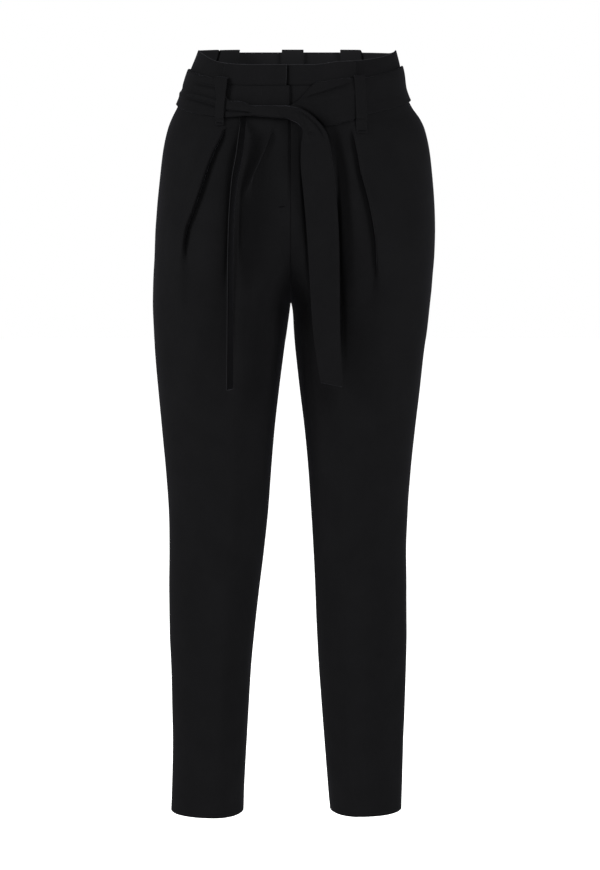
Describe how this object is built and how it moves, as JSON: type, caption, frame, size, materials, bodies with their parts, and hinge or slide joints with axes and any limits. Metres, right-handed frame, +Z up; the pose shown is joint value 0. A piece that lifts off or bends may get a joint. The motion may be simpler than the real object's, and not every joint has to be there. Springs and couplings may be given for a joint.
{
  "type": "paperbag waist trousers",
  "caption": "High-waisted tapered trousers with a gathered paperbag frill above the waistband, soft front pleats and a knotted sash through belt loops.",
  "frame": {"origin": "middle of the waist, level with the middle of the waistband at the side seams", "axes": "+Z up towards the frill, -Y the way the fronts face, +X towards the wearer's left"},
  "size_m": [0.3674, 0.2835, 1.0025],
  "materials": {
    "crepe": "matt black dress crepe, fine grain, soft sheen along the folds",
    "sash": "matt black dress crepe, two layers turned out and pressed"
  },
  "bodies": {
    "root": {"front_right": "crepe", "front_left": "crepe", "back_right": "crepe", "back_left": "crepe", "waistband_front_right": "crepe", "waistband_front_left": "crepe", "waistband_back": "crepe", "frill_front_right": "crepe", "frill_front_left": "crepe", "frill_back": "crepe", "belt_loop_front_right": "crepe", "belt_loop_front_left": "crepe", "belt_loop_back_right": "crepe", "belt_loop_back_centre": "crepe", "belt_loop_back_left": "crepe", "belt_left": "sash", "belt_right": "sash", "belt_knot": "sash", "belt_end_wide": "sash", "belt_end_narrow": "sash"}
  },
  "joints": []
}
